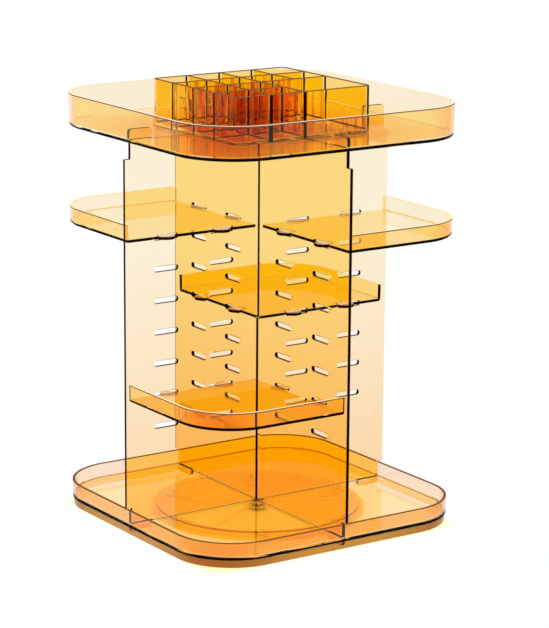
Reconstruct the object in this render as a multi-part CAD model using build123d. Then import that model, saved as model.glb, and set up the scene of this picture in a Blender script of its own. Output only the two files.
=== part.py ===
"""Rotating make-up organiser in clear amber plastic, modelled piece by piece in millimetres.

The frame: the origin is at the middle of the footprint, on the table, and +Z is up. Two flat
panels cross at the middle, one along X and one along Y. They stand on a square turntable tray
with round corners, carry one corner shelf tray in each quarter, and hold a deeper tray on top,
which holds a loose insert with a grid of cells.
"""
import os
from math import cos, radians, sin, tan

from build123d import *

# ---------------------------------------------------------------- driving dimensions, mm
# Plan of the base tray and the top tray, which share one outline
TRAY_SIDE = 236.0           # outside width over the rims
TRAY_CORNER = 48.0          # outside radius of the corners
TRAY_WALL = 2.0             # wall thickness
TRAY_FLOOR = 2.2            # floor thickness
WALL_DRAFT = 1.0            # degrees that every moulded wall leans outwards
FLOOR_BEVEL = 1.0           # inside, where a tray's floor meets its wall

# Base tray, from the table upwards
SKIRT_GAP = 2.0             # air under the skirt
SKIRT_HEIGHT = 5.3          # from the skirt's lower edge to the underside of the floor
SKIRT_INSET = 1.0           # skirt face behind the wall face
SKIRT_WALL = 1.8
BASE_RIM = 11.3             # rim above the floor

# Crossing panels
PANEL_HEIGHT = 291.0        # from the base floor to the underside of the top tray
PANEL_THICK = 2.8
PANEL_PROUD = 1.1           # panel edge beyond the trays' outline
PANEL_WALL_GAP = 1.4        # between a notch and the wall that it clears
RIM_GAP = 1.0               # between a notch's end and the rim that it clears
HALF_LAP_GAP = 0.15         # air on each face of the half-lap joint
HALF_LAP_END = 0.25         # air at its end
TAB_LENGTH = 19.3           # locating tab, along the panel
TAB_RISE = 7.8              # tab above the top tray's floor
TAB_DROP = 6.4              # tab below the base floor's upper face
TAB_RADIUS = 2.5
TAB_GAP = 0.35              # air all round a tab in its floor slot

# Slots that the shelf trays hang in
SLOT_ROWS = 7
SLOT_PITCH = 24.1
SLOT_LENGTH = 21.0
SLOT_HEIGHT = 4.0
SLOT_BEVEL = 1.3            # cut off each corner of a slot
SLOT_INNER = 35.0           # slot middles, from the middle of the organiser
SLOT_OUTER = 84.0

# Corner shelf trays: quadrant signs in X and Y, and the row of slots, counted from the top
SHELVES = {"left": (-1, 1, 1), "right": (1, -1, 1), "rear": (1, 1, 4), "front": (-1, -1, 6)}
SHELF_SETBACK = 1.3         # rim inside the trays' outline
SHELF_CORNER = 43.5
SHELF_WALL = 1.8
SHELF_FLOOR = 2.2
SHELF_RIM = 11.3            # rim above the floor
SHELF_FOOT = 1.4            # outside bevel, floor to wall
SHELF_GAP = 0.4             # air between a shelf and a panel
SHELF_NOSE = 1.5            # rounding at the inner corner
HOOK_RADIUS = 6.8           # half-round tab that hangs in a slot
HOOK_GAP = 0.6              # air between a tab and the bevelled end of its slot

# Top tray
TOP_RIM = 23.2              # rim above the floor
TOP_FOOT = 1.4              # outside bevel, floor to wall

# Grid insert, standing on the top tray's floor
INSERT_X = 120.0
INSERT_Y = 115.6
INSERT_HEIGHT = 35.4
INSERT_AT = (-5.1, -8.9)    # its middle, in plan
INSERT_CORNER = 4.5
INSERT_WALL = 2.0
INSERT_DIVIDER = 1.9
INSERT_FLOOR = 2.0
INSERT_CELLS = 4            # cells each way, before the merged block
MERGED_CELLS = 2            # cells each way in the merged block, in the +X -Y corner

# Turntable
DISC_RADIUS = 83.0
DISC_THICK = 1.6
DISC_LIP = 2.0              # width of the lip at its edge, which guides the roller cage
PAD_COUNT = 6
PAD_SIDE = 9.0
PAD_BEVEL = 2.0             # cut off each corner of a pad
PAD_HEIGHT = 1.0
PAD_FROM_EDGE = 19.0        # pad middle, in from the disc's edge
ROLLER_COUNT = 6
ROLLER_DIAMETER = 3.0
ROLLER_LENGTH = 5.0
ROLLER_GAP = 0.15           # air between a roller and each track, and in its pocket
TRACK_WIDTH = 6.0           # radial width of the track ring under the tray
CAGE_THICK = 1.0
CAGE_WIDTH = 9.0
CAGE_GAP = 0.4              # air between the cage and the lip around it

# Centre pivot
BOSS_RADIUS = 5.15
BOSS_DROP = 4.1             # boss below the tray floor
HUB_GAP = 0.25              # running clearance of the boss in the hub
HUB_RADIUS = 12.0
HUB_PLATE = 1.6
HUB_WALL = 1.6
WASHER_RADIUS = 7.0
WASHER_THICK = 0.8
WASHER_GAP = 0.2            # air between the washer and the hub plate
SCREW_RADIUS = 1.25
SCREW_GAP = 0.05
SCREW_HEAD_RADIUS = 3.2
SCREW_HEAD = 1.2
SCREW_LENGTH = 5.0          # shank above the washer
RIB_COUNT = 6               # radial ribs under the tray, from boss to track ring
RIB_THICK = 1.4
RIB_DROP = 1.2

# ---------------------------------------------------------------- levels and outlines
TRAY_HALF = TRAY_SIDE / 2
BASE_UNDER = SKIRT_GAP + SKIRT_HEIGHT
BASE_FLOOR = BASE_UNDER + TRAY_FLOOR
PANEL_TOP = BASE_FLOOR + PANEL_HEIGHT
PANEL_MID = BASE_FLOOR + PANEL_HEIGHT / 2
TOP_FLOOR = PANEL_TOP + TRAY_FLOOR
FACE = PANEL_THICK / 2                                  # panel face from its middle plane
PANEL_HALF = TRAY_HALF + PANEL_PROUD
NOTCH_HALF = TRAY_HALF - TRAY_WALL - PANEL_WALL_GAP     # panel edge where it stands in a tray
NOTCH_HEIGHT = BASE_RIM + RIM_GAP
TAB_MIDDLE = NOTCH_HALF - TAB_LENGTH / 2
SHELF_HALF = TRAY_HALF - SHELF_SETBACK
SHELF_EDGE = FACE + SHELF_GAP                           # shelf side from the panel's middle plane
PAD_CIRCLE = DISC_RADIUS - PAD_FROM_EDGE
TRACK_CIRCLE = DISC_RADIUS - DISC_LIP - CAGE_GAP - CAGE_WIDTH / 2
DISC_TOP = PAD_HEIGHT + DISC_THICK
ROLLER_LEVEL = DISC_TOP + ROLLER_GAP + ROLLER_DIAMETER / 2
TRACK_LEVEL = ROLLER_LEVEL + ROLLER_DIAMETER / 2 + ROLLER_GAP
CAGE_TOP = ROLLER_LEVEL + CAGE_THICK / 2
BOSS_END = BASE_UNDER - BOSS_DROP
HUB_UNDER = BOSS_END + WASHER_GAP
HUB_TOP = HUB_UNDER + HUB_PLATE


def slot_level(row):
    """Height of the middle of a row of slots; row 1 is the top one."""
    return PANEL_MID + ((SLOT_ROWS + 1) / 2 - row) * SLOT_PITCH


def shelf_floor(row):
    """Upper face of a shelf's floor: its tabs lie on the lower side of the slots."""
    return slot_level(row) - SLOT_HEIGHT / 2 + SHELF_FLOOR


def around(count, radius):
    """Angle in degrees, and place, of each of some points spaced evenly on a circle."""
    turns = [360 * number / count for number in range(count)]
    return [(turn, radius * cos(radians(turn)), radius * sin(radians(turn))) for turn in turns]


# ---------------------------------------------------------------- shared shapes
def plate(width, depth, low, high, corner=0.0, at=(0.0, 0.0)):
    """A flat block with round vertical corners, between two heights."""
    outline = RectangleRounded(width, depth, corner) if corner else Rectangle(width, depth)
    return extrude(Pos(at[0], at[1], low) * outline, high - low)


def tube(outer, inner, low, high):
    """A round ring between two heights, or a disc if it has no inner radius."""
    ring = Pos(0, 0, low) * Cylinder(outer, high - low, align=(Align.CENTER, Align.CENTER, Align.MIN))
    if inner > 0:
        bore = Cylinder(inner, high - low, align=(Align.CENTER, Align.CENTER, Align.MIN))
        ring -= Pos(0, 0, low) * bore
    return ring


def drafted(side, corner, low, high, bevel):
    """A rounded square that grows upwards by the draft; side and corner are at the top."""
    def outline(level, inset):
        lean = (high - level) * tan(radians(WALL_DRAFT)) + inset
        return Pos(0, 0, level) * RectangleRounded(side - 2 * lean, side - 2 * lean, corner - lean)

    sections = [outline(low + bevel, 0), outline(high, 0)]
    if bevel > 0:
        sections.insert(0, outline(low, bevel))
    return loft(sections, ruled=True)


def open_tray(side, corner, wall, under, floor, rim, foot, inside):
    """A moulded tray: floor and drafted wall, with a bevel at the foot and one inside."""
    shell = drafted(side, corner, under, rim, foot)
    return shell - drafted(side - 2 * wall, corner - wall, floor, rim, inside)


def tab_slots(under, floor):
    """The four slots in a tray's floor for the panels' tabs, cut through the bevel above it."""
    length = TAB_LENGTH + 2 * TAB_GAP
    width = PANEL_THICK + 2 * TAB_GAP
    top = floor + FLOOR_BEVEL
    slots = []
    for way in (-1, 1):
        slots.append(plate(length, width, under, top, at=(way * TAB_MIDDLE, 0)))
        slots.append(plate(width, length, under, top, at=(0, way * TAB_MIDDLE)))
    return slots


# ---------------------------------------------------------------- panels
def panel_outline():
    """One panel, flat, with X across it and Y up from the table."""
    body = Pos(0, PANEL_MID) * Rectangle(2 * PANEL_HALF, PANEL_HEIGHT - 2 * NOTCH_HEIGHT)
    body += Pos(0, PANEL_MID) * Rectangle(2 * NOTCH_HALF, PANEL_HEIGHT)
    tab_low = BASE_FLOOR - TAB_DROP
    tab_high = TOP_FLOOR + TAB_RISE
    tab_shape = RectangleRounded(TAB_LENGTH, tab_high - tab_low, TAB_RADIUS)
    slot = chamfer(Rectangle(SLOT_LENGTH, SLOT_HEIGHT).vertices(), SLOT_BEVEL)
    for way in (-1, 1):
        body += Pos(way * TAB_MIDDLE, (tab_low + tab_high) / 2) * tab_shape
        for middle in (SLOT_INNER, SLOT_OUTER):
            for row in range(1, SLOT_ROWS + 1):
                body -= Pos(way * middle, slot_level(row)) * slot
    return body


def cross_panel(lap_from_top):
    """A panel along X, with its half of the joint cut from the top or from below."""
    outline = panel_outline()
    lap = PANEL_HEIGHT / 2 + HALF_LAP_END
    middle = PANEL_TOP - lap / 2 if lap_from_top else BASE_FLOOR + lap / 2
    outline -= Pos(0, middle) * Rectangle(PANEL_THICK + 2 * HALF_LAP_GAP, lap)
    return extrude(Plane.XZ * outline, PANEL_THICK / 2, both=True)


# ---------------------------------------------------------------- trays
def stiffening_ribs():
    """Radial ribs under the base tray, between the boss and the track ring."""
    reach = TRACK_CIRCLE - TRACK_WIDTH / 2 + RIB_THICK / 2
    rib = plate(reach, RIB_THICK, BASE_UNDER - RIB_DROP, BASE_UNDER, at=(reach / 2, 0))
    return [Rot(0, 0, turn + 180 / RIB_COUNT) * rib for turn, _, _ in around(RIB_COUNT, reach)]


def base_tray():
    """Turntable tray: floor and rim above, skirt, track ring, ribs and pivot boss below."""
    rim = BASE_FLOOR + BASE_RIM
    tray = open_tray(TRAY_SIDE, TRAY_CORNER, TRAY_WALL, BASE_UNDER, BASE_FLOOR, rim, 0, FLOOR_BEVEL)
    skirt_side = TRAY_SIDE - 2 * SKIRT_INSET
    skirt_corner = TRAY_CORNER - SKIRT_INSET
    inner_side = skirt_side - 2 * SKIRT_WALL
    skirt = plate(skirt_side, skirt_side, SKIRT_GAP, BASE_UNDER, skirt_corner)
    skirt -= plate(inner_side, inner_side, SKIRT_GAP, BASE_UNDER, skirt_corner - SKIRT_WALL)
    track = tube(TRACK_CIRCLE + TRACK_WIDTH / 2, TRACK_CIRCLE - TRACK_WIDTH / 2, TRACK_LEVEL, BASE_UNDER)
    boss = tube(BOSS_RADIUS, 0, BOSS_END, BASE_UNDER)
    tray = tray + skirt + track + boss + stiffening_ribs()
    tray -= tube(SCREW_RADIUS + SCREW_GAP, 0, BOSS_END, BOSS_END + SCREW_LENGTH + SCREW_GAP)
    return tray - tab_slots(BASE_UNDER, BASE_FLOOR)


def top_tray():
    """Deep tray that rests on the panels' upper edges, with slots over their tabs."""
    rim = TOP_FLOOR + TOP_RIM
    tray = open_tray(TRAY_SIDE, TRAY_CORNER, TRAY_WALL, PANEL_TOP, TOP_FLOOR, rim, TOP_FOOT, FLOOR_BEVEL)
    return tray - tab_slots(PANEL_TOP, TOP_FLOOR)


def shelf_tray(way_x, way_y, row):
    """Corner shelf: a quarter of a rounded tray, open along the panels, with four tabs."""
    floor = shelf_floor(row)
    under = floor - SHELF_FLOOR
    rim = floor + SHELF_RIM
    whole = open_tray(2 * SHELF_HALF, SHELF_CORNER, SHELF_WALL, under, floor, rim, SHELF_FOOT, 0)
    width = SHELF_HALF - SHELF_EDGE
    middle = SHELF_EDGE + width / 2
    quarter = Pos(way_x * middle, way_y * middle, (under + rim) / 2) * Box(width, width, rim - under)
    shelf = whole & quarter
    nose = shelf.edges().filter_by(Axis.Z).sort_by_distance((0, 0, floor))[0]
    shelf = fillet(nose, SHELF_NOSE)
    for slot_middle in (SLOT_INNER, SLOT_OUTER):
        slot_end = slot_middle - SLOT_LENGTH / 2 + SLOT_BEVEL
        along = slot_end + HOOK_GAP + HOOK_RADIUS
        for x, y in ((along, SHELF_EDGE), (SHELF_EDGE, along)):
            hook = Cylinder(HOOK_RADIUS, SHELF_FLOOR)
            shelf += Pos(way_x * x, way_y * y, under + SHELF_FLOOR / 2) * hook
    return shelf


def cell_edges(size, middle):
    """Where the cells begin and end along one side of the insert."""
    clear = size - 2 * INSERT_WALL - (INSERT_CELLS - 1) * INSERT_DIVIDER
    cell = clear / INSERT_CELLS
    start = middle - size / 2 + INSERT_WALL
    return [(start + n * (cell + INSERT_DIVIDER), start + n * (cell + INSERT_DIVIDER) + cell)
            for n in range(INSERT_CELLS)]


def insert_cells():
    """Every cell as (x low, x high, y low, y high), the merged block last."""
    across = cell_edges(INSERT_X, INSERT_AT[0])
    along = cell_edges(INSERT_Y, INSERT_AT[1])
    first_merged = INSERT_CELLS - MERGED_CELLS
    cells = []
    for column, (x_low, x_high) in enumerate(across):
        for rank, (y_low, y_high) in enumerate(along):
            if column < first_merged or rank >= MERGED_CELLS:
                cells.append((x_low, x_high, y_low, y_high))
    merged_x = across[first_merged][0], across[-1][1]
    merged_y = along[0][0], along[MERGED_CELLS - 1][1]
    cells.append((*merged_x, *merged_y))
    return cells


def grid_insert():
    """Loose box with twelve small cells and one large one."""
    top = TOP_FLOOR + INSERT_HEIGHT
    box = plate(INSERT_X, INSERT_Y, TOP_FLOOR, top, INSERT_CORNER, INSERT_AT)
    for x_low, x_high, y_low, y_high in insert_cells():
        middle = ((x_low + x_high) / 2, (y_low + y_high) / 2)
        box -= plate(x_high - x_low, y_high - y_low, TOP_FLOOR + INSERT_FLOOR, top, at=middle)
    return box


# ---------------------------------------------------------------- turntable
def foot_disc():
    """Fixed disc: flat lower track, edge lip round the roller cage, and hub for the boss."""
    disc = tube(DISC_RADIUS, 0, PAD_HEIGHT, DISC_TOP)
    disc += tube(DISC_RADIUS, DISC_RADIUS - DISC_LIP, PAD_HEIGHT, CAGE_TOP)
    disc += tube(HUB_RADIUS, 0, PAD_HEIGHT, HUB_TOP)
    disc -= tube(HUB_RADIUS - HUB_WALL, 0, PAD_HEIGHT, HUB_UNDER)
    return disc - tube(BOSS_RADIUS + HUB_GAP, 0, HUB_UNDER, HUB_TOP)


def foot_pad(turn, x, y):
    """Soft square pad with cut corners, which stops the disc slipping on the table."""
    outline = chamfer(Rectangle(PAD_SIDE, PAD_SIDE).vertices(), PAD_BEVEL)
    return extrude(Pos(x, y, 0) * Rot(0, 0, turn) * outline, PAD_HEIGHT)


def roller_cage():
    """Flat ring with a pocket for each roller, which keeps them apart and radial."""
    low = CAGE_TOP - CAGE_THICK
    cage = tube(TRACK_CIRCLE + CAGE_WIDTH / 2, TRACK_CIRCLE - CAGE_WIDTH / 2, low, CAGE_TOP)
    pocket_x = ROLLER_LENGTH + 2 * ROLLER_GAP
    pocket_y = ROLLER_DIAMETER + 2 * ROLLER_GAP
    pocket = plate(pocket_x, pocket_y, low, CAGE_TOP, at=(TRACK_CIRCLE, 0))
    return cage - [Rot(0, 0, turn) * pocket for turn, _, _ in around(ROLLER_COUNT, TRACK_CIRCLE)]


def rollers():
    """The rollers, each a solid of its own, lying radially between the tracks."""
    roller = Rot(0, 90, 0) * Cylinder(ROLLER_DIAMETER / 2, ROLLER_LENGTH)
    return Compound([Pos(x, y, ROLLER_LEVEL) * Rot(0, 0, turn) * roller
                     for turn, x, y in around(ROLLER_COUNT, TRACK_CIRCLE)])


def pivot_washer():
    """Washer under the boss: it holds the disc up when the organiser is lifted."""
    return tube(WASHER_RADIUS, SCREW_RADIUS + SCREW_GAP, BOSS_END - WASHER_THICK, BOSS_END)


def pivot_screw():
    """Flat-headed screw through the washer into the boss."""
    seat = BOSS_END - WASHER_THICK
    head = tube(SCREW_HEAD_RADIUS, 0, seat - SCREW_HEAD, seat)
    return head + tube(SCREW_RADIUS, 0, seat - SCREW_HEAD / 2, BOSS_END + SCREW_LENGTH)


# ---------------------------------------------------------------- every piece, one file each
def all_pieces():
    """Node names and solids."""
    pieces = {
        "foot_disc": foot_disc(),
        "roller_cage": roller_cage(),
        "rollers": rollers(),
        "pivot_washer": pivot_washer(),
        "pivot_screw": pivot_screw(),
        "base_tray": base_tray(),
        "cross_panel_a": cross_panel(lap_from_top=True),
        "cross_panel_b": Rot(0, 0, 90) * cross_panel(lap_from_top=False),
        "top_tray": top_tray(),
        "grid_insert": grid_insert(),
    }
    for number, place in enumerate(around(PAD_COUNT, PAD_CIRCLE), start=1):
        pieces[f"foot_pad_{number}"] = foot_pad(*place)
    for name, (way_x, way_y, row) in SHELVES.items():
        pieces[f"shelf_tray_{name}"] = shelf_tray(way_x, way_y, row)
    return pieces


os.makedirs("parts", exist_ok=True)
for name, piece in all_pieces().items():
    export_step(piece, f"parts/{name}.step")
    print(f"{name}: {len(piece.solids())} solid(s), {piece.volume / 1000:.2f} cm3")
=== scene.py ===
# %% [markdown]
# A turning make-up organiser in clear amber plastic. The construction comes in as a fixed
# frame: every piece at its real size and place, in metres. Blender adds the looks. We start by
# loading that frame.

# %% Load the frame
import math

import bmesh
import bpy
from mathutils import Matrix, Vector
from mathutils.geometry import tessellate_polygon


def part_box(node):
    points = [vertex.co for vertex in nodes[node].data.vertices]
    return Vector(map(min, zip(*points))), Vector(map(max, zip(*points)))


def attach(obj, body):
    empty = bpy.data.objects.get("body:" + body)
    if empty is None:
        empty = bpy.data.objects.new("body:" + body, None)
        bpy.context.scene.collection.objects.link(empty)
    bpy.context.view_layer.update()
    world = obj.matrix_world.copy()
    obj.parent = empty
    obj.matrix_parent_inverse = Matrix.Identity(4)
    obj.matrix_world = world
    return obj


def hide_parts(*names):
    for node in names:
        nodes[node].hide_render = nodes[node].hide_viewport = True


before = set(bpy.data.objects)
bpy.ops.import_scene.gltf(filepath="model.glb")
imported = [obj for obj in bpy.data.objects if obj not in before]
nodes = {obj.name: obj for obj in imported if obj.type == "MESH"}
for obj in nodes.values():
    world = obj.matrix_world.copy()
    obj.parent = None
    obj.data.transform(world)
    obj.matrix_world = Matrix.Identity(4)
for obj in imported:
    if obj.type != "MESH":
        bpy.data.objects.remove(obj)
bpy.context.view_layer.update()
MM = 0.001

# %% [markdown]
# The camera stands where the photographer's stood. Its angles and distance were worked out from
# the picture beforehand: a little left of one corner, 13 degrees above the table, 2 m away with
# a long lens. We build its three axes by hand, so that the small roll is exact.

# %% Camera
AZIMUTH = math.radians(-34.096)
ELEVATION = math.radians(13.328)
ROLL = math.radians(0.425)
DISTANCE = 2.0127
FOCAL_IN_PIXELS = 2629.3
PICTURE_HEIGHT = 628
TARGET_ASIDE = 0.01206
TARGET_HEIGHT = 0.1575

back = Vector((math.sin(AZIMUTH) * math.cos(ELEVATION),
               -math.cos(AZIMUTH) * math.cos(ELEVATION),
               math.sin(ELEVATION)))
level_right = Vector((math.cos(AZIMUTH), math.sin(AZIMUTH), 0))
level_up = back.cross(level_right)
right = level_right * math.cos(ROLL) + level_up * math.sin(ROLL)
up = level_up * math.cos(ROLL) - level_right * math.sin(ROLL)
target = level_right * TARGET_ASIDE + Vector((0, 0, TARGET_HEIGHT))

camera_data = bpy.data.cameras.new("camera")
camera_data.sensor_width = 36
camera_data.lens = camera_data.sensor_width * FOCAL_IN_PIXELS / PICTURE_HEIGHT
camera = bpy.data.objects.new("camera", camera_data)
bpy.context.scene.collection.objects.link(camera)
turn = Matrix((right, up, back)).transposed().to_4x4()
camera.matrix_world = Matrix.Translation(target + back * DISTANCE) @ turn
bpy.context.scene.camera = camera
print("lens", round(camera_data.lens, 2), "mm")

# %% [markdown]
# Clear plastic has no colour of its own surface: it shows what is behind it. So the studio is
# nearly white in every direction that the camera, a reflection or a look through the plastic
# can take, and a little dimmer for the light that falls on the floor.

# %% Colour handling and light paths
scene = bpy.context.scene
scene.view_settings.view_transform = "Standard"
scene.cycles.max_bounces = 40
scene.cycles.transmission_bounces = 36
scene.cycles.glossy_bounces = 6
scene.cycles.diffuse_bounces = 2
scene.cycles.transparent_max_bounces = 24
scene.cycles.caustics_reflective = False
scene.cycles.caustics_refractive = False


# %% [markdown]
# Node trees get long quickly, so here are three small helpers: one places a node and fills its
# inputs (a value is set, a socket is linked), one does sums with a Math node, and one keeps the
# larger of several masks.

# %% Node helpers
def place(tree, kind, inputs=None, **settings):
    """Adds a node; each input is given a plain value or another node's output."""
    new = tree.nodes.new(kind)
    for name, value in settings.items():
        setattr(new, name, value)
    for name, value in (inputs or {}).items():
        if isinstance(value, bpy.types.NodeSocket):
            tree.links.new(value, new.inputs[name])
        else:
            new.inputs[name].default_value = value
    return new


def sums(tree, operation, first, second=0.0, clamp=False):
    """One Math node."""
    new = place(tree, "ShaderNodeMath", {0: first, 1: second}, operation=operation)
    new.use_clamp = clamp
    return new.outputs[0]


def largest(tree, masks):
    """The larger of all the masks, point by point."""
    result = masks[0]
    for mask in masks[1:]:
        result = sums(tree, "MAXIMUM", result, mask)
    return result


# %% [markdown]
# Three more helpers do the same for vectors: how far one goes along another, each part of a
# vector multiplied by its own factor, and a vector without its signs, which folds the four
# quarters of the organiser onto one.

# %% Vector helpers
def dot(tree, first, second):
    """How far one vector goes along another."""
    new = place(tree, "ShaderNodeVectorMath", {0: first, 1: second}, operation="DOT_PRODUCT")
    return new.outputs["Value"]


def stretched(tree, vector, factors):
    """A vector with each of its parts multiplied."""
    return place(tree, "ShaderNodeVectorMath", {0: vector, 1: factors}, operation="MULTIPLY").outputs[0]


def unsigned(tree, vector):
    """A vector with the signs of its parts dropped."""
    return place(tree, "ShaderNodeVectorMath", {0: vector}, operation="ABSOLUTE").outputs[0]


# %% [markdown]
# The world is the white studio. A camera, glossy or transmission ray sees it at full white, so
# the plastic shows a clean background. The light that it casts is a little weaker, so that pale
# surfaces don't clip.

# %% World
WORLD_FOR_LIGHT = 0.9
world = bpy.data.worlds.new("studio")
scene.world = world
world.use_nodes = True
tree = world.node_tree
tree.nodes.clear()
rays = place(tree, "ShaderNodeLightPath").outputs
seen = largest(tree, [rays["Is Camera Ray"], rays["Is Glossy Ray"], rays["Is Transmission Ray"]])
strength = sums(tree, "ADD", WORLD_FOR_LIGHT, sums(tree, "MULTIPLY", seen, 1 - WORLD_FOR_LIGHT))
sky = place(tree, "ShaderNodeBackground", {"Color": (1, 1, 1, 1), "Strength": strength})
place(tree, "ShaderNodeOutputWorld", {"Surface": sky.outputs[0]})
print("world:", WORLD_FOR_LIGHT, "as light, 1.0 as background")

# %% [markdown]
# The floor is a large matt sheet. Around the organiser part of its brightness is given to the
# camera directly, so that it blends into the white surround. Under the organiser all of its
# brightness is real light: it has come down through the amber plastic, so the table there is
# orange, and that is what makes the base look so deep.

# %% Floor
FLOOR_HALF = 4.0
FLOOR_BELOW = 0.0002
FLOOR_COLOUR = (0.95, 0.95, 0.95, 1)
FLOOR_GLOW = 0.95
SHADE_REACH = 0.110
SHADE_FADE = 0.006

floor_mesh = bpy.data.meshes.new("floor")
floor_mesh.from_pydata([(x, y, -FLOOR_BELOW) for x, y in
                        ((-FLOOR_HALF, -FLOOR_HALF), (FLOOR_HALF, -FLOOR_HALF),
                         (FLOOR_HALF, FLOOR_HALF), (-FLOOR_HALF, FLOOR_HALF))], [], [(0, 1, 2, 3)])
floor = bpy.data.objects.new("floor", floor_mesh)
scene.collection.objects.link(floor)

paper = bpy.data.materials.new("paper_floor")
paper.use_nodes = True
tree = paper.node_tree
tree.nodes.clear()
rays = place(tree, "ShaderNodeLightPath").outputs
seen = largest(tree, [rays["Is Camera Ray"], rays["Is Glossy Ray"], rays["Is Transmission Ray"]])
spot = place(tree, "ShaderNodeSeparateXYZ",
             {"Vector": place(tree, "ShaderNodeTexCoord").outputs["Object"]}).outputs
farther = largest(tree, [sums(tree, "ABSOLUTE", spot["X"]), sums(tree, "ABSOLUTE", spot["Y"])])
open_floor = sums(tree, "DIVIDE", sums(tree, "SUBTRACT", farther, SHADE_REACH), SHADE_FADE, clamp=True)
share = sums(tree, "MULTIPLY", sums(tree, "MULTIPLY", seen, open_floor), FLOOR_GLOW)
matt = place(tree, "ShaderNodeBsdfDiffuse", {"Color": FLOOR_COLOUR})
glow = place(tree, "ShaderNodeEmission", {"Color": (1, 1, 1, 1), "Strength": 1.0})
mixed = place(tree, "ShaderNodeMixShader", {0: share, 1: matt.outputs[0], 2: glow.outputs[0]})
place(tree, "ShaderNodeOutputMaterial", {"Surface": mixed.outputs[0]})
floor_mesh.materials.append(paper)
print("floor:", 2 * FLOOR_HALF, "m square")


# %% [markdown]
# Three large square lamps give soft light from the left, the right and behind. On clear plastic
# they add only a little gloss; their main work is on the table under the base.

# %% Lamps
def soft_box(name, place_at, size, power):
    """A square area lamp that looks at the middle of the organiser."""
    lamp = bpy.data.lights.new(name, "AREA")
    lamp.shape = "SQUARE"
    lamp.size = size
    lamp.energy = power
    holder = bpy.data.objects.new(name, lamp)
    scene.collection.objects.link(holder)
    holder.location = place_at
    holder.rotation_euler = (Vector(place_at) - target).to_track_quat("Z", "Y").to_euler()
    print(name, power, "W")


soft_box("key_lamp", (-1.6, -1.2, 2.2), 1.4, 20)
soft_box("fill_lamp", (1.8, -0.6, 1.6), 1.2, 8)
soft_box("rear_lamp", (0.4, 2.0, 1.8), 1.4, 8)

# %% [markdown]
# Amber plastic. One sheet of it is pale straw, two are yellow, three are orange, and where many
# lie behind each other the colour goes to deep red-brown. A volume would do this too, but it
# is slow and noisy. Instead the colour of each sheet is chosen by how many surfaces the look
# has already passed: two surfaces make one sheet. The loose insert is thicker, and goes red
# sooner, and the base stands in its own orange light.

# %% Node groups: tint by the number of sheets
SHEET_TINTS = [(0.965, 0.863, 0.665), (1.0, 0.795, 0.331), (1.0, 0.70, 0.012), (1.0, 0.90, 0.2),
               (0.98, 0.82, 0.8), (0.95, 0.82, 1.0), (0.97, 0.90, 1.0), (0.99, 0.97, 1.0)]
BASE_TINTS = [(0.955, 0.76, 0.61), (1.0, 0.74, 0.22), (1.0, 0.78, 0.008), (1.0, 0.93, 0.2),
              (0.98, 0.84, 0.8), (0.95, 0.90, 1.0), (0.97, 0.95, 1.0), (0.99, 0.97, 1.0)]
THICK_TINTS = [(0.98, 0.863, 0.665), (1.0, 0.795, 0.331), (1.0, 0.74, 0.02), (1.0, 0.80, 0.2),
               (0.98, 0.62, 0.5), (0.93, 0.56, 0.8), (0.90, 0.58, 1.0), (0.93, 0.75, 1.0)]


def tint_group(name, tints):
    """Depth in, the colour of that sheet out."""
    group = bpy.data.node_groups.new(name, "ShaderNodeTree")
    group.interface.new_socket("Depth", in_out="INPUT", socket_type="NodeSocketFloat")
    group.interface.new_socket("Colour", in_out="OUTPUT", socket_type="NodeSocketColor")
    start = group.nodes.new("NodeGroupInput")
    finish = group.nodes.new("NodeGroupOutput")
    surfaces = 2 * len(tints)
    share = sums(group, "DIVIDE", start.outputs["Depth"], surfaces)
    ramp = place(group, "ShaderNodeValToRGB", {"Fac": share})
    ramp.color_ramp.interpolation = "CONSTANT"
    stops = ramp.color_ramp.elements
    while len(stops) < len(tints):
        stops.new(1.0)
    for number, tint in enumerate(tints):
        stops[number].position = max(0.0, (2 * number - 0.5) / surfaces)
        stops[number].color = (*tint, 1)
    group.links.new(ramp.outputs["Color"], finish.inputs["Colour"])
    print(name, "for", len(tints), "sheets")
    return group


sheet_tint = tint_group("sheet_tint", SHEET_TINTS)
base_tint = tint_group("base_tint", BASE_TINTS)
thick_tint = tint_group("thick_tint", THICK_TINTS)


# %% [markdown]
# Seen edge-on, a clear sheet looks nearly black: light that enters the broad faces can't get out
# through the narrow ones. Every cut edge of this organiser draws such a dark line, and these
# lines are what makes the picture so crisp. They are painted by place and by facing, in the
# piece's own coordinates, so that they stay put when the piece moves.

# %% Node groups: band and facing
def mask_group(name, inputs):
    """An empty group with a Mask output; inputs maps names to socket types."""
    group = bpy.data.node_groups.new(name, "ShaderNodeTree")
    for label, kind in inputs.items():
        group.interface.new_socket(label, in_out="INPUT", socket_type=kind)
    group.interface.new_socket("Mask", in_out="OUTPUT", socket_type="NodeSocketFloat")
    return group, group.nodes.new("NodeGroupInput"), group.nodes.new("NodeGroupOutput")


def band_group():
    """1 where a coordinate lies within Half of Middle, fading over Fade."""
    group, start, finish = mask_group("band", {
        "Position": "NodeSocketVector", "Axis": "NodeSocketVector",
        "Middle": "NodeSocketFloat", "Half": "NodeSocketFloat", "Fade": "NodeSocketFloat"})
    along = dot(group, start.outputs["Position"], start.outputs["Axis"])
    off = sums(group, "ABSOLUTE", sums(group, "SUBTRACT", along, start.outputs["Middle"]))
    past = sums(group, "SUBTRACT", off, start.outputs["Half"])
    faded = sums(group, "DIVIDE", past, start.outputs["Fade"])
    inside = sums(group, "SUBTRACT", 1.0, faded, clamp=True)
    group.links.new(inside, finish.inputs["Mask"])
    return group


FACING_FROM = 0.85
FACING_GAIN = 20.0


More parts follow.
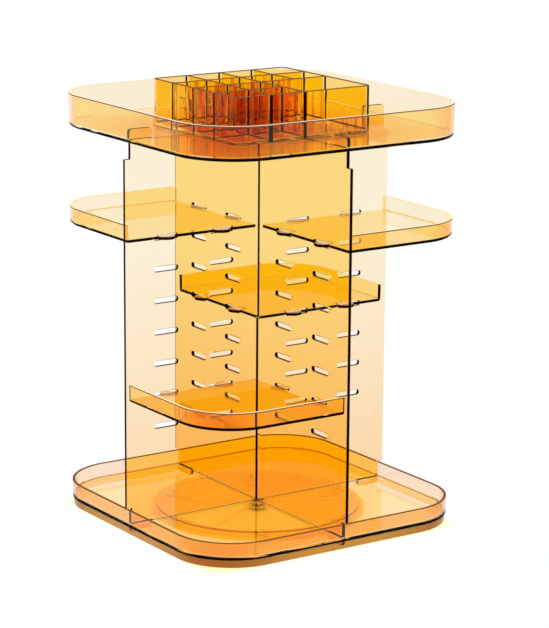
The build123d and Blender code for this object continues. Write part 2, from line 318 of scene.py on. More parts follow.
def facing_group():
    """1 on faces that look along Axis, either way; 0 on the others."""
    group, start, finish = mask_group("facing", dict.fromkeys(("Normal", "Axis"), "NodeSocketVector"))
    steep = sums(group, "ABSOLUTE", dot(group, start.outputs["Normal"], start.outputs["Axis"]))
    above = sums(group, "SUBTRACT", steep, FACING_FROM)
    sharp = sums(group, "MULTIPLY", above, FACING_GAIN, clamp=True)
    group.links.new(sharp, finish.inputs["Mask"])
    return group


band = band_group()
facing = facing_group()
X_AXIS, Y_AXIS, Z_AXIS = (1, 0, 0), (0, 1, 0), (0, 0, 1)
print("groups:", band.name, facing.name)


# %% [markdown]
# Each material asks the same few questions of a point on its piece: how far along an axis it
# lies, which way it faces, whether it is on the outer wall, whether it is on a corner's curve.
# One small class answers them, and combines the answers. A face counts as outer wall where its
# normal, taken together with the way from the middle, reaches 40 mm; level faces stay near 0.

# %% Masks of a surface
LEAST_LEAN = 40 * MM
LEVEL = (1, 1, 0)


def use(tree, group, inputs, output="Mask"):
    """Places a node group and returns one of its outputs."""
    new = place(tree, "ShaderNodeGroup", node_tree=group)
    for name, value in inputs.items():
        if isinstance(value, bpy.types.NodeSocket):
            tree.links.new(value, new.inputs[name])
        else:
            new.inputs[name].default_value = value
    return new.outputs[output]


class Surface:
    """The tree of one material, with the point and normal of its piece, to make masks from."""

    def __init__(self, tree):
        coordinates = place(tree, "ShaderNodeTexCoord").outputs
        inside = place(tree, "ShaderNodeNewGeometry").outputs["Backfacing"]
        self.tree, self.point, self.normal = tree, coordinates["Object"], coordinates["Normal"]
        self.outside = sums(tree, "SUBTRACT", 1.0, inside)
        self.depth = place(tree, "ShaderNodeLightPath").outputs["Transmission Depth"]

    def near(self, axis, middle, half, fade=0.0001):
        """Within half of a middle, along an axis."""
        return use(self.tree, band, {"Position": self.point, "Axis": axis, "Middle": middle,
                                     "Half": half, "Fade": fade})

    def between(self, axis, low, high, fade=0.0001):
        """Between two places along an axis."""
        return self.near(axis, (low + high) / 2, (high - low) / 2, fade)

    def faces(self, axis):
        """On faces that look along an axis."""
        return use(self.tree, facing, {"Normal": self.normal, "Axis": axis})

    def outermost(self):
        """On the skin that looks away from the middle, met from outside."""
        lean = dot(self.tree, stretched(self.tree, self.point, LEVEL), self.normal)
        away = sums(self.tree, "GREATER_THAN", lean, LEAST_LEAN)
        return sums(self.tree, "MULTIPLY", away, self.outside)

    def turning(self):
        """1 on the middle of an upright corner's curve, 0 on the flat sides."""
        parts = [dot(self.tree, self.normal, axis) for axis in (X_AXIS, Y_AXIS)]
        product = sums(self.tree, "MULTIPLY", *parts)
        return sums(self.tree, "MULTIPLY", sums(self.tree, "ABSOLUTE", product), 2.0, clamp=True)

    def beside(self, mask):
        """Where a mask is not."""
        return sums(self.tree, "SUBTRACT", 1.0, mask)

    def both(self, *masks):
        """Where all of some masks are."""
        result = masks[0]
        for mask in masks[1:]:
            result = sums(self.tree, "MULTIPLY", result, mask)
        return result


# %% [markdown]
# Nothing moulded is quite flat. The plastic sinks a little as it cools, and the mould's polish
# varies. A slow noise gives both: a height for a gentle bump, and a roughness that stays close
# to zero. The panels are cut sheet and nearly flat; the insert is a thick moulding and ripples.

# %% Node group: moulding
POLISH_LEAST = 0.0
POLISH_MOST = 0.02
DULL_FROM, DULL_TO = 0.4, 0.8


def moulding_group():
    """Height and Roughness of a moulded face."""
    group = bpy.data.node_groups.new("moulding", "ShaderNodeTree")
    group.interface.new_socket("Position", in_out="INPUT", socket_type="NodeSocketVector")
    group.interface.new_socket("Stretch", in_out="INPUT", socket_type="NodeSocketVector")
    group.interface.new_socket("Height", in_out="OUTPUT", socket_type="NodeSocketFloat")
    group.interface.new_socket("Roughness", in_out="OUTPUT", socket_type="NodeSocketFloat")
    start = group.nodes.new("NodeGroupInput")
    finish = group.nodes.new("NodeGroupOutput")
    scaled = stretched(group, start.outputs["Position"], start.outputs["Stretch"])
    noise = place(group, "ShaderNodeTexNoise", {"Vector": scaled, "Scale": 1.0, "Detail": 2.0})
    polish = place(group, "ShaderNodeMapRange", {0: noise.outputs[0], 1: DULL_FROM, 2: DULL_TO,
                                                 3: POLISH_LEAST, 4: POLISH_MOST})
    group.links.new(noise.outputs[0], finish.inputs["Height"])
    group.links.new(polish.outputs[0], finish.inputs["Roughness"])
    return group


moulding = moulding_group()
print("group:", moulding.name)


def moulded(surface, stretch, waves):
    """The moulding's height and roughness on a surface, and a normal that waves with it."""
    flow = place(surface.tree, "ShaderNodeGroup", node_tree=moulding)
    surface.tree.links.new(surface.point, flow.inputs["Position"])
    flow.inputs["Stretch"].default_value = stretch
    height, roughness = flow.outputs["Height"], flow.outputs["Roughness"]
    bump = place(surface.tree, "ShaderNodeBump", {"Strength": waves, "Distance": MM, "Height": height})
    return height, roughness, bump.outputs[0]


# %% [markdown]
# The amber material puts it together. The clear body is a Principled shader that lets all light
# through; its index of refraction is lower than real plastic's, because two close faces with the
# real one fill the picture with stray dark reflections. The lines are a matt shader, mixed in
# by their masks, and only where the surface is met from outside. Rays that carry the lamps' light
# pass straight through with one light tint, so the table under the organiser is lit in amber.

# %% Amber plastic
EDGE_BLACK = (0.006, 0.002, 0.001, 1)
LINE_BROWN = (0.20, 0.09, 0.035, 1)
LINE_AMBER = (0.62, 0.27, 0.03, 1)
LINE_FAINT = (0.92, 0.64, 0.27, 1)
LINE_PALE = (0.90, 0.80, 0.62, 1)
SHEET_IOR = 1.06
TRAY_IOR = 1.25
BASE_IOR = 1.36
LIGHT_THROUGH = (0.99, 0.955, 0.74, 1)


def mixed_colour(tree, share, first, second, blend="MIX"):
    """A Mix Color node; share, first and second are values or sockets."""
    mix = place(tree, "ShaderNodeMix", data_type="RGBA", blend_type=blend)
    for number, value in ((0, share), (6, first), (7, second)):
        if isinstance(value, bpy.types.NodeSocket):
            tree.links.new(value, mix.inputs[number])
        else:
            mix.inputs[number].default_value = value
    return mix.outputs[2]


def amber(name, lines=(), glows=(), tint=sheet_tint, ior=TRAY_IOR, waves=0.02, stretch=(60, 60, 60)):
    """Clear amber plastic. lines are (colour, function that makes masks from a Surface), and
    glows the same for tints multiplied on top, among them painted light, painted shade and a
    painted reflection. waves is how strongly the moulded surface undulates, and stretch how often
    along each axis, per metre."""
    material = bpy.data.materials.new(name)
    material.use_nodes = True
    tree = material.node_tree
    tree.nodes.clear()
    rays = place(tree, "ShaderNodeLightPath").outputs
    surface = Surface(tree)
    colour = use(tree, tint, {"Depth": surface.depth}, "Colour")
    for glow, masks in glows:
        colour = mixed_colour(tree, largest(tree, masks(surface)), colour, glow, "MULTIPLY")
    # The lines are painted shade: the dark that an edge shows where light can't get through it.
    edge_shade, edge_shade_share = EDGE_BLACK, 0.0
    for line, masks in lines:
        drawn = sums(tree, "MULTIPLY", largest(tree, masks(surface)), surface.outside)
        edge_shade = mixed_colour(tree, drawn, edge_shade, line)
        edge_shade_share = sums(tree, "MAXIMUM", edge_shade_share, drawn)
    roughness, normal = moulded(surface, stretch, waves)[1:]
    body = place(tree, "ShaderNodeBsdfPrincipled", {
        "Base Color": colour, "Roughness": roughness, "IOR": ior,
        "Transmission Weight": 1.0, "Normal": normal})
    edge = place(tree, "ShaderNodeBsdfDiffuse", {"Color": edge_shade})
    lined = place(tree, "ShaderNodeMixShader", {0: edge_shade_share, 1: body.outputs[0], 2: edge.outputs[0]})
    let_through = place(tree, "ShaderNodeBsdfTransparent", {"Color": LIGHT_THROUGH})
    lamp_ray = largest(tree, [rays["Is Shadow Ray"], rays["Is Diffuse Ray"]])
    both = place(tree, "ShaderNodeMixShader", {
        0: lamp_ray, 1: lined.outputs[0], 2: let_through.outputs[0]})
    place(tree, "ShaderNodeOutputMaterial", {"Surface": both.outputs[0]})
    print("material:", name)
    return material


def dress(node, material):
    """Gives a CAD node one material."""
    slots = nodes[node].data.materials
    slots.clear()
    slots.append(material)


# %% [markdown]
# Most pieces are flat sheets with cut-outs, or trays with walls that go once around. Both are
# made of rings of points, with walls between two rings and caps that fill what lies between an
# outer ring and the holes in it. So one small helper collects rings, walls and caps.

# %% Outlines
ARC_STEP = math.radians(12)


def rounded(corners):
    """A closed outline from corners (x, y, radius); a radius of 0 leaves the corner sharp."""
    points = []
    for number, (x, y, radius) in enumerate(corners):
        here = Vector((x, y))
        if radius == 0:
            points.append(here)
            continue
        before = (Vector(corners[number - 1][:2]) - here).normalized()
        after = (Vector(corners[(number + 1) % len(corners)][:2]) - here).normalized()
        half = before.angle(after) / 2
        centre = here + (before + after).normalized() * radius / math.sin(half)
        start = here + before * radius / math.tan(half) - centre
        sweep = start.angle_signed(here + after * radius / math.tan(half) - centre)
        steps = max(2, round(abs(sweep) / ARC_STEP))
        for step in range(steps + 1):
            points.append(centre + Matrix.Rotation(-sweep * step / steps, 2) @ start)
    return points


def rectangle(x_low, x_high, y_low, y_high, radius=0.0):
    """A rectangle with round corners, counter-clockwise."""
    return rounded([(x_low, y_low, radius), (x_high, y_low, radius),
                    (x_high, y_high, radius), (x_low, y_high, radius)])


def grown(outline, distance):
    """The same counter-clockwise outline, moved outwards all round."""
    points = []
    for number, here in enumerate(outline):
        before = here - outline[number - 1]
        after = outline[(number + 1) % len(outline)] - here
        out = Vector((before.y, -before.x)).normalized() + Vector((after.y, -after.x)).normalized()
        points.append(here + out * (2 * distance / out.length_squared))
    return points


# %% [markdown]
# The faces of a shell are turned outwards at the end, and shaded smooth across its curves but not
# across its edges. A mesh is closed when every edge has two faces, so the open ones are counted.

# %% Shells
SMOOTH_BELOW = math.radians(32)


class Shell:
    """A closed mesh that is built of rings."""

    def __init__(self, upright=None):
        self.points, self.faces, self.rings, self.upright = [], [], [], upright

    def ring(self, outline, level):
        """Adds a ring of points and returns its number."""
        first = len(self.points)
        self.points += [Vector((p.x, p.y, level)) for p in outline]
        self.rings.append(range(first, len(self.points)))
        return len(self.rings) - 1

    def wall(self, *numbers):
        """Quads from each ring to the next."""
        for lower, higher in zip(numbers, numbers[1:]):
            a, b = self.rings[lower], self.rings[higher]
            self.faces += [(a[n - 1], a[n], b[n], b[n - 1]) for n in range(len(a))]

    def cap(self, outer, holes=()):
        """Fills a ring, around its holes."""
        chosen = [self.rings[number] for number in (outer, *holes)]
        flat = [index for ring in chosen for index in ring]
        rows = [[Vector((*self.points[index].xy, 0)) for index in ring] for ring in chosen]
        self.faces += [[flat[n] for n in three] for three in tessellate_polygon(rows)]

    def piece(self, name):
        """The finished object, with its faces turned outwards and its shading smooth on curves."""
        mesh = bpy.data.meshes.new(name)
        mesh.from_pydata(self.points, [], self.faces)
        if self.upright:
            mesh.transform(self.upright)
        work = bmesh.new()
        work.from_mesh(mesh)
        bmesh.ops.recalc_face_normals(work, faces=work.faces)
        open_edges = [edge for edge in work.edges if len(edge.link_faces) != 2]
        work.to_mesh(mesh)
        work.free()
        mesh.shade_smooth()
        mesh.set_sharp_from_angle(angle=SMOOTH_BELOW)
        made = bpy.data.objects.new(name, mesh)
        scene.collection.objects.link(made)
        print(name, len(mesh.polygons), "faces,", len(open_edges), "open edges")
        return made


def cut_sheet(outline, holes, low, high, edge, upright=None):
    """A flat sheet with cut-outs and slightly rounded edges."""
    shell = Shell(upright)
    caps = {low: [], high: []}
    for number, loop in enumerate([outline, *holes]):
        softened = grown(loop, -edge if number == 0 else edge)
        rings = [shell.ring(softened, low), shell.ring(loop, low + edge),
                 shell.ring(loop, high - edge), shell.ring(softened, high)]
        shell.wall(*rings)
        caps[low].append(rings[0])
        caps[high].append(rings[-1])
    for level in (low, high):
        shell.cap(caps[level][0], caps[level][1:])
    return shell


# %% [markdown]
# The two crossing panels are cut from 2.8 mm sheet. Each has notches where it clears the trays'
# rims, tabs that locate in the trays' floors, half of the lap joint at the middle, and four
# columns of round-ended slots for the shelves. Their narrow faces are black; the edges along
# the slots' lower sides are seen more gently, so they are brown. A hair of air is left where a
# panel stands on a tray: two faces in exactly the same place would flicker.

# %% Panel sizes
PANEL_THICK = 2.8 * MM
PANEL_HALF = 119.1 * MM
NOTCH_HALF = 114.6 * MM
NOTCH_HEIGHT = 12.3 * MM
TAB_LENGTH = 19.3 * MM
TAB_RADIUS = 2.5 * MM
NOTCH_RADIUS = 0.6 * MM
LAP_HALF = 1.55 * MM
LAP_SPARE = 0.25 * MM
SLOT_LENGTH = 21.0 * MM
SLOT_HEIGHT = 4.0 * MM
SLOT_MIDDLES = (35.0 * MM, 84.0 * MM)
SLOT_PITCH = 24.1 * MM
SLOT_ROWS = 7
ROUND_END = 0.499
EDGE_SOFT = 0.2 * MM

RESTING_GAP = 0.05 * MM
base_floor = 9.5 * MM
top_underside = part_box("top_tray")[0].z
panel_low, panel_top = base_floor + RESTING_GAP, top_underside - RESTING_GAP
panel_middle = (base_floor + top_underside) / 2
tab_low, tab_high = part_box("cross_panel_a")[0].z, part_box("cross_panel_a")[1].z
print("panel", round(panel_low / MM, 1), "to", round(panel_top / MM, 1), "mm high")


# %% [markdown]
# A panel is drawn lying down, its outline with the tabs and notches and then its slots, and is
# given its thickness. It is then stood up, and the second one turned a quarter.

# %% Panels
def panel_outline(lap_from_top):
    """Half of the outline on the right, then its mirror image on the left."""
    tab_in = NOTCH_HALF - TAB_LENGTH
    side = [(tab_in, panel_low, 0), (tab_in, tab_low, TAB_RADIUS), (NOTCH_HALF, tab_low, TAB_RADIUS),
            (NOTCH_HALF, base_floor + NOTCH_HEIGHT, 0),
            (PANEL_HALF, base_floor + NOTCH_HEIGHT, NOTCH_RADIUS),
            (PANEL_HALF, top_underside - NOTCH_HEIGHT, NOTCH_RADIUS),
            (NOTCH_HALF, top_underside - NOTCH_HEIGHT, 0),
            (NOTCH_HALF, tab_high, TAB_RADIUS), (tab_in, tab_high, TAB_RADIUS), (tab_in, panel_top, 0)]
    if lap_from_top:
        side += [(LAP_HALF, panel_top, 0), (LAP_HALF, panel_middle - LAP_SPARE, 0)]
    else:
        side = [(LAP_HALF, panel_middle + LAP_SPARE, 0), (LAP_HALF, panel_low, 0)] + side
    return rounded(side + [(-x, z, radius) for x, z, radius in reversed(side)])


def slots():
    """Round-ended slots in four columns."""
    for way in (-1, 1):
        for middle in SLOT_MIDDLES:
            for row in range(SLOT_ROWS):
                x = way * middle
                z = panel_middle + (row - (SLOT_ROWS - 1) / 2) * SLOT_PITCH
                yield rectangle(x - SLOT_LENGTH / 2, x + SLOT_LENGTH / 2,
                                z - SLOT_HEIGHT / 2, z + SLOT_HEIGHT / 2, SLOT_HEIGHT * ROUND_END)


def panel(name, node, lap_from_top, turned):
    """One panel, stood up along X or turned to lie along Y."""
    stand = Matrix.Rotation(turned, 4, "Z") @ Matrix.Rotation(math.radians(90), 4, "X")
    half = PANEL_THICK / 2
    sheet = cut_sheet(panel_outline(lap_from_top), list(slots()), -half, half, EDGE_SOFT, stand)
    made = sheet.piece(name)
    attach(made, "organiser")
    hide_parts(node)
    return made


# %% [markdown]
# The panels' finish. Their front ends and the line where they cross are black, and the ends away
# from the light are thin or pale. Low down the sheet is painted warmer: painted light, standing
# in for the amber base that shines into it.

# %% Panel finish
CROSSING_A = (-2.2 * MM, 1.0 * MM)
CROSSING_B = (-1.3 * MM, 1.4 * MM)
LAP_REACH = 2 * MM
END_STRIP = 0.9 * MM
FRONT_STRIP = 0.4 * MM
CORE_HALF = 1.2 * MM
JOINT_HALF = 0.5 * MM
BASE_GLOW_FULL = 12 * MM
BASE_GLOW_FADE = 190 * MM
PANEL_BASE_GLOW = (1.0, 0.80, 0.62, 1)


def panel_finish(name, broad, across, crossing, low, high, rear_line):
    """broad is the axis through the sheet, across the one along it. The other panel crosses
    between low and high, and crossing is the middle and half width of the line it draws."""
    def front_end(s):
        return s.near(across, -PANEL_HALF, FRONT_STRIP)

    def black(s):
        cuts = s.both(*[s.beside(s.faces(axis)) for axis in (broad, Z_AXIS)])
        elsewhere = s.beside(largest(s.tree, [s.near(Z_AXIS, panel_low, JOINT_HALF), front_end(s),
                                              s.near(across, 0.0, LAP_REACH)]))
        return [s.both(cuts, elsewhere),
                s.both(front_end(s), s.near(broad, 0.0, CORE_HALF)),
                s.both(s.near(across, *crossing), s.faces(broad), s.between(Z_AXIS, low, high))]

    def brown(s):
        elsewhere = s.beside(largest(s.tree, [s.near(across, 0.0, LAP_REACH), front_end(s)]))
        cuts = s.both(s.beside(s.faces(broad)), elsewhere)
        return [cuts, s.near(Z_AXIS, panel_low, JOINT_HALF)]

    def rear_end(s):
        return [s.near(across, PANEL_HALF, END_STRIP)]

    # Painted light: the lower sheet is tinted as if lit by the amber base below it.
    def painted_base_glow(s):
        return [s.near(Z_AXIS, base_floor, BASE_GLOW_FULL, BASE_GLOW_FADE)]

    return amber(name, [(LINE_BROWN, brown), (EDGE_BLACK, black), (rear_line, rear_end)],
                 [(PANEL_BASE_GLOW, painted_base_glow)], ior=SHEET_IOR, waves=0.005)


panel_a = panel("panel_a", "cross_panel_a", True, 0.0)
panel_a.data.materials.append(panel_finish("amber_panel_a", Y_AXIS, X_AXIS, CROSSING_A,
                                            panel_low, panel_middle, LINE_PALE))
panel_b = panel("panel_b", "cross_panel_b", False, math.radians(90))
panel_b.data.materials.append(panel_finish("amber_panel_b", X_AXIS, Y_AXIS, CROSSING_B,
                                            panel_middle, panel_top, LINE_BROWN))

# %% [markdown]
# Trays. Their walls and floors are one sheet of plastic each; where the floor's thickness shows
# on the outside there is a black line. The rim is brown on the base tray. On the other trays it
# is brown on its outer side and pale on top, so that the far rims nearly vanish, and the shelves'
# open ends are amber or black.

# %% Tray lines
TRAY_FLOOR = 2.2 * MM
RIM_LINE = 0.35 * MM
NEAR_RIM_LINE = 0.8 * MM
FOOT_LINE = 0.35 * MM
SKIRT_TOP = 7.3 * MM
SHELF_SIDE = 1.8 * MM
END_DEPTH = 0.3 * MM
END_REACH = 1.1 * MM
HOOK_RADIUS = 6.8 * MM
HOOK_PLACES = (33.2 * MM, 82.2 * MM)
HOOK_TINT = (0.97, 0.62, 0.20, 1)
END_AMBER = (0.86, 0.52, 0.20, 1)
CURVE_TINT = (1.0, 0.46, 0.16, 1)
BASE_CURVE_TINT = (0.92, 0.62, 0.45, 1)
SHELF_WALL_TINT = (1.0, 0.91, 0.62, 1)
BASE_WALL_TINT = (0.92, 0.66, 0.56, 1)
LINE_INSET = 0.35 * MM
# Painted shade on the skirt: the table's shadow under the base, deepest towards the corners.
SKIRT_SHADE = (0.30, 0.12, 0.01, 1)
SKIRT_CORNER_SHADE = (0.50, 0.30, 0.05, 1)
CORNER_SUM, CORNER_HALF, CORNER_FADE = 215 * MM, 15 * MM, 55 * MM
# Painted reflection: the insert mirrored in the top tray's floor.
INSERT_REFLECTION = (0.95, 0.50, 0.25, 1)
INSERT_REFLECTION_REACH = 70 * MM


def curves(s):
    """The upright corners, where the look passes along more of the wall."""
    return [s.both(s.turning(), s.outermost())]


def outer_wall(s):
    """The wall's outer face, above the skirt where there is one."""
    return [s.both(s.outermost(), s.beside(s.near(Z_AXIS, 0.0, SKIRT_TOP)))]


def tray_lines(under, floor, rim, faint=True):
    """Black where the floor's thickness shows outside, brown on the rim, and deep amber along
    the foot of the wall inside. On a faint tray the rim is brown only on its outer side."""
    def black(s):
        inside = s.between(Z_AXIS, under + LINE_INSET, floor - LINE_INSET)
        return [s.both(s.beside(s.faces(Z_AXIS)), inside)]

    def brown(s):
        return [s.near(Z_AXIS, rim, RIM_LINE)]

    def foot(s):
        line = s.near(Z_AXIS, floor + FOOT_LINE, FOOT_LINE)
        return [s.both(line, s.beside(s.faces(Z_AXIS)), s.beside(s.outermost()))]

    def outside(s):
        return [s.both(s.near(Z_AXIS, rim, NEAR_RIM_LINE), s.outermost())]

    if faint:
        rim_lines = [(LINE_PALE, brown), (LINE_BROWN, outside)]
    else:
        rim_lines = [(LINE_BROWN, brown)]
    return [(LINE_FAINT if faint else LINE_AMBER, foot), *rim_lines, (EDGE_BLACK, black)]


def hook_discs(s):
    """Discs round the hooks' middles, by the point's distance with its signs dropped."""
    flat = stretched(s.tree, unsigned(s.tree, s.point), LEVEL)
    discs = []
    for along in HOOK_PLACES:
        for centre in ((along, SHELF_SIDE, 0), (SHELF_SIDE, along, 0)):
            off = place(s.tree, "ShaderNodeVectorMath", {0: flat, 1: centre}, operation="DISTANCE")
            discs.append(off.outputs["Value"])
    nearest = discs[0]
    for off in discs[1:]:
        nearest = sums(s.tree, "MINIMUM", nearest, off)
    return nearest


def shelf_finish(name, under, floor, rim, dark_ends):
    """A shelf: its open sides are black, its hooks brownish with a thin outline."""
    def hooks(s):
        inside = sums(s.tree, "LESS_THAN", hook_discs(s), HOOK_RADIUS)
        return [s.both(s.faces(Z_AXIS), inside)]

    def outline(s):
        ring = sums(s.tree, "COMPARE", hook_discs(s), HOOK_RADIUS)
        ring.node.inputs[2].default_value = RIM_LINE
        return [s.both(s.faces(Z_AXIS), ring)]

    def ends(s):
        return [s.both(s.near(axis, 0.0, SHELF_SIDE + END_DEPTH), s.faces(axis))
                for axis in (X_AXIS, Y_AXIS)]

    def dark_strips(s):
        upright = s.both(s.beside(s.faces(Z_AXIS)), s.between(Z_AXIS, floor, rim))
        return [s.both(upright, s.near(axis, 0.0, SHELF_SIDE + END_REACH))
                for axis in (X_AXIS, Y_AXIS)]

    def black(s):
        return [s.both(s.beside(s.faces(Z_AXIS)), s.between(Z_AXIS, under, floor))]

    wall_lines = tray_lines(under, floor, rim)[:-1]
    end_line = (EDGE_BLACK, dark_strips) if dark_ends else (END_AMBER, ends)
    return amber(name, [*wall_lines, (LINE_BROWN, outline), end_line, (EDGE_BLACK, black)],
                 [(HOOK_TINT, hooks), (SHELF_WALL_TINT, outer_wall), (CURVE_TINT, curves)])


def skirt(s):
    """The skirt under the black line, painted darker as shade: the table's shadow under the base."""
    return [s.both(s.between(Z_AXIS, 0.0, SKIRT_TOP), s.outermost())]


def skirt_corner_shade(s):
    """The skirt's corners, painted darker still: more painted shade towards each corner."""
    diagonal = use(s.tree, band, {"Position": unsigned(s.tree, s.point), "Axis": LEVEL,
                                  "Middle": CORNER_SUM, "Half": CORNER_HALF, "Fade": CORNER_FADE})
    return [s.both(diagonal, *skirt(s))]


def painted_insert_reflection(s):
    """A painted reflection of the insert on the top tray's floor, stronger the nearer it is to the
    insert.
    """
    low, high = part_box("grid_insert")
    sides = [s.near(axis, (a + b) / 2, (b - a) / 2, INSERT_REFLECTION_REACH)
             for axis, a, b in ((X_AXIS, low.x, high.x), (Y_AXIS, low.y, high.y))]
    return [s.both(*sides, s.faces(Z_AXIS), s.between(Z_AXIS, low.z - TRAY_FLOOR, low.z + RIM_LINE))]


# %% [markdown]
# Each tray gets its lines and its tints. The base refracts more than the others and stands in
# its own light, and the four shelves share one recipe with their own heights.

# %% Tray finishes
base_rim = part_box("base_tray")[1].z
top_low, top_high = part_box("top_tray")
dress("base_tray", amber("amber_base", tray_lines(SKIRT_TOP, base_floor, base_rim, faint=False),
                         [(SKIRT_SHADE, skirt), (SKIRT_CORNER_SHADE, skirt_corner_shade),
                          (BASE_WALL_TINT, outer_wall), (BASE_CURVE_TINT, curves)],
                         base_tint, ior=BASE_IOR))
dress("top_tray", amber("amber_top", tray_lines(top_low.z, top_low.z + TRAY_FLOOR, top_high.z),
                        [(INSERT_REFLECTION, painted_insert_reflection), (CURVE_TINT, curves)]))
for name in ("left", "right", "rear", "front"):
    low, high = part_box(f"shelf_tray_{name}")
    dress(f"shelf_tray_{name}", shelf_finish(f"amber_shelf_{name}", low.z, low.z + TRAY_FLOOR, high.z,
                                             name in ("rear", "front")))

# %% [markdown]
# The loose insert is a thicker moulding with a grid of cells. The cells have rounded corners,
# and these bend the light into upright streaks. Where a divider meets an outer wall the look
# goes along the divider, edge-on, so a dark bar shows there.

# %% Insert
INSERT_WALL = 2.0 * MM
INSERT_DIVIDER = 1.9 * MM
INSERT_FLOOR = 2.0 * MM
INSERT_CORNER = 4.5 * MM
CELL_CORNER = 2.6 * MM
CELL_COUNT = 4
MERGED_COUNT = 2
RIM_SOFT = 0.4 * MM
CELL_FOOT = 2 * RIM_SOFT

insert_low, insert_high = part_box("grid_insert")


def cell_edges(low, high):
    """Where the cells begin and end between two outer faces."""
    pitch = (high - low - 2 * INSERT_WALL + INSERT_DIVIDER) / CELL_COUNT
    first = low + INSERT_WALL
    return [(first + n * pitch, first + (n + 1) * pitch - INSERT_DIVIDER) for n in range(CELL_COUNT)]


cells_x = cell_edges(insert_low.x, insert_high.x)
cells_y = cell_edges(insert_low.y, insert_high.y)
first_merged = CELL_COUNT - MERGED_COUNT


def cells():
    """Twelve small cells and the large one at the +X -Y corner."""
    for column, (x_low, x_high) in enumerate(cells_x):
        for rank, (y_low, y_high) in enumerate(cells_y):
            if column < first_merged or rank >= MERGED_COUNT:
                yield rectangle(x_low, x_high, y_low, y_high, CELL_CORNER)
    yield rectangle(cells_x[first_merged][0], cells_x[-1][1],
                    cells_y[0][0], cells_y[MERGED_COUNT - 1][1], CELL_CORNER)


def insert():
    """Outer wall, rim, and every cell down to its floor."""
    shell = Shell()
    outer = rectangle(insert_low.x, insert_high.x, insert_low.y, insert_high.y, INSERT_CORNER)
    bottom, top = insert_low.z + RESTING_GAP, insert_high.z
    floor_level = bottom + INSERT_FLOOR
    outside = [shell.ring(grown(outer, -RIM_SOFT), bottom), shell.ring(outer, bottom + RIM_SOFT),
               shell.ring(outer, top - RIM_SOFT), shell.ring(grown(outer, -RIM_SOFT), top)]
    shell.wall(*outside)
    shell.cap(outside[0])
    mouths = []
    for cell in cells():
        rings = [shell.ring(grown(cell, RIM_SOFT), top), shell.ring(cell, top - RIM_SOFT),
                 shell.ring(cell, floor_level + CELL_FOOT),
                 shell.ring(grown(cell, -CELL_FOOT), floor_level)]
        shell.wall(*rings)
        shell.cap(rings[-1])
        mouths.append(rings[0])
    shell.cap(outside[-1], mouths)
    made = shell.piece("insert_box")
    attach(made, "grid_insert")
    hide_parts("grid_insert")
    return made


# %% [markdown]
# The insert's finish. The bars go where a divider comes to an outer face, the rim is brown and
# the foot red-brown. The streaks are shown only to a look that has already passed two sheets, so
# that the outer walls stay clear and yellow.

# %% Insert finish
INSERT_IOR = 1.15
BAR_HALF = 0.9 * MM
WIDE_BAR_HALF = 1.3 * MM
FOOT_RED = (0.45, 0.15, 0.02, 1)
FOOT_REACH = 1.5 * RIM_SOFT
RIM_BROWN = 0.5 * MM
STREAKS_PER_METRE = (260, 260, 14)
STREAKS_AFTER = 4.5
STREAK_RED = (0.6, 0.2, 0.1, 1)
STREAK_FROM, STREAK_TO = 0.52, 0.6


def middles(edges):
    """The places of the dividers between cells."""
    return [(before[1] + after[0]) / 2 for before, after in zip(edges, edges[1:])]


def insert_black(s):
    """Bars on the outer faces, where the dividers come to them, and the cells' round corners."""
    bars = []
    for other, reach, axis, dividers, half in (
            (Y_AXIS, insert_low.y, X_AXIS, middles(cells_x)[:first_merged], WIDE_BAR_HALF),
            (Y_AXIS, insert_high.y, X_AXIS, middles(cells_x), BAR_HALF),
            (X_AXIS, insert_low.x, Y_AXIS, middles(cells_y), BAR_HALF),
            (X_AXIS, insert_high.x, Y_AXIS, middles(cells_y)[MERGED_COUNT - 1:], BAR_HALF)):
        edge_on = largest(s.tree, [s.near(axis, middle, half) for middle in dividers])
        bars.append(s.both(s.near(other, reach, RIM_SOFT), s.faces(other), edge_on))
    walls = INSERT_WALL + CELL_CORNER
    inner = largest(s.tree, [s.between(X_AXIS, insert_low.x + walls, insert_high.x - walls),
                             s.between(Y_AXIS, insert_low.y + walls, insert_high.y - walls)])
    corners = s.both(inner, *[s.beside(s.faces(axis)) for axis in (X_AXIS, Y_AXIS, Z_AXIS)])
    return bars + [corners]


def insert_brown(s):
    """The rim."""
    return [s.near(Z_AXIS, insert_high.z, RIM_BROWN)]


def insert_foot(s):
    """The soft edge that the insert stands on."""
    return [s.near(Z_AXIS, insert_low.z, FOOT_REACH)]


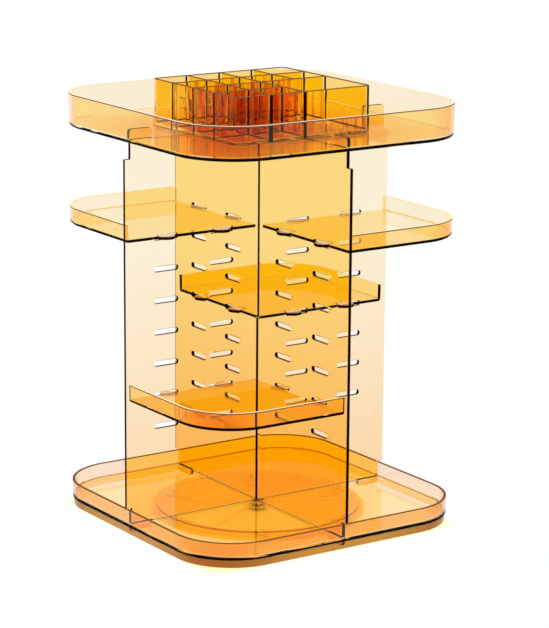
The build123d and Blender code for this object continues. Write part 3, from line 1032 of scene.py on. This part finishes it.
def streaks(s):
    """Upright streaks deep inside, where the round corners bend the light."""
    deep = sums(s.tree, "GREATER_THAN", s.depth, STREAKS_AFTER)
    scaled = stretched(s.tree, s.point, STREAKS_PER_METRE)
    noise = place(s.tree, "ShaderNodeTexNoise", {"Vector": scaled, "Scale": 1.0, "Detail": 3.0})
    strong = place(s.tree, "ShaderNodeMapRange", {0: noise.outputs[0], 1: STREAK_FROM, 2: STREAK_TO})
    return [s.both(strong.outputs[0], deep, s.beside(s.faces(Z_AXIS)))]


insert_lines = [(FOOT_RED, insert_foot), (EDGE_BLACK, insert_black), (LINE_BROWN, insert_brown)]
insert().data.materials.append(amber("amber_insert", insert_lines, [(STREAK_RED, streaks)], thick_tint,
                                     ior=INSERT_IOR, waves=0.25, stretch=(160, 160, 25)))

# %% [markdown]
# The turntable hides under the base floor and shows through it only as faint rings. The foot
# disc and the roller cage are the same amber, and bend the light so little that their ribs
# stay faint. The rollers, the washer and the screw are ground steel, and the pads soft rubber.

# %% Turntable
DISC_IOR = 1.02
SOLID_WAVES = 0.1
STEEL = (0.92, 0.91, 0.88, 1)
STEEL_DARK = (0.80, 0.79, 0.76, 1)
RUBBER = (0.98, 0.94, 0.86, 1)
RUBBER_DULL = (0.90, 0.86, 0.78, 1)


def solid_finish(name, light, dark, metallic, roughness, stretch):
    """An opaque finish whose colour, roughness and height follow one noise."""
    material = bpy.data.materials.new(name)
    material.use_nodes = True
    tree = material.node_tree
    tree.nodes.clear()
    height, flow, normal = moulded(Surface(tree), stretch, SOLID_WAVES)
    colour = mixed_colour(tree, height, dark, light)
    body = place(tree, "ShaderNodeBsdfPrincipled", {
        "Base Color": colour, "Metallic": metallic, "Normal": normal,
        "Roughness": sums(tree, "ADD", flow, roughness)})
    place(tree, "ShaderNodeOutputMaterial", {"Surface": body.outputs[0]})
    print("material:", name)
    return material


disc = amber("clear_disc", tint=base_tint, ior=DISC_IOR)
for name in ("foot_disc", "roller_cage"):
    dress(name, disc)
steel = solid_finish("ground_steel", STEEL, STEEL_DARK, 1.0, 0.3, (900, 900, 60))
for name in ("rollers", "pivot_washer", "pivot_screw"):
    dress(name, steel)
rubber = solid_finish("pad_rubber", RUBBER, RUBBER_DULL, 0.0, 0.6, (700, 700, 700))
for name in nodes:
    if name.startswith("foot_pad"):
        dress(name, rubber)
print("dressed:", len(nodes), "nodes")
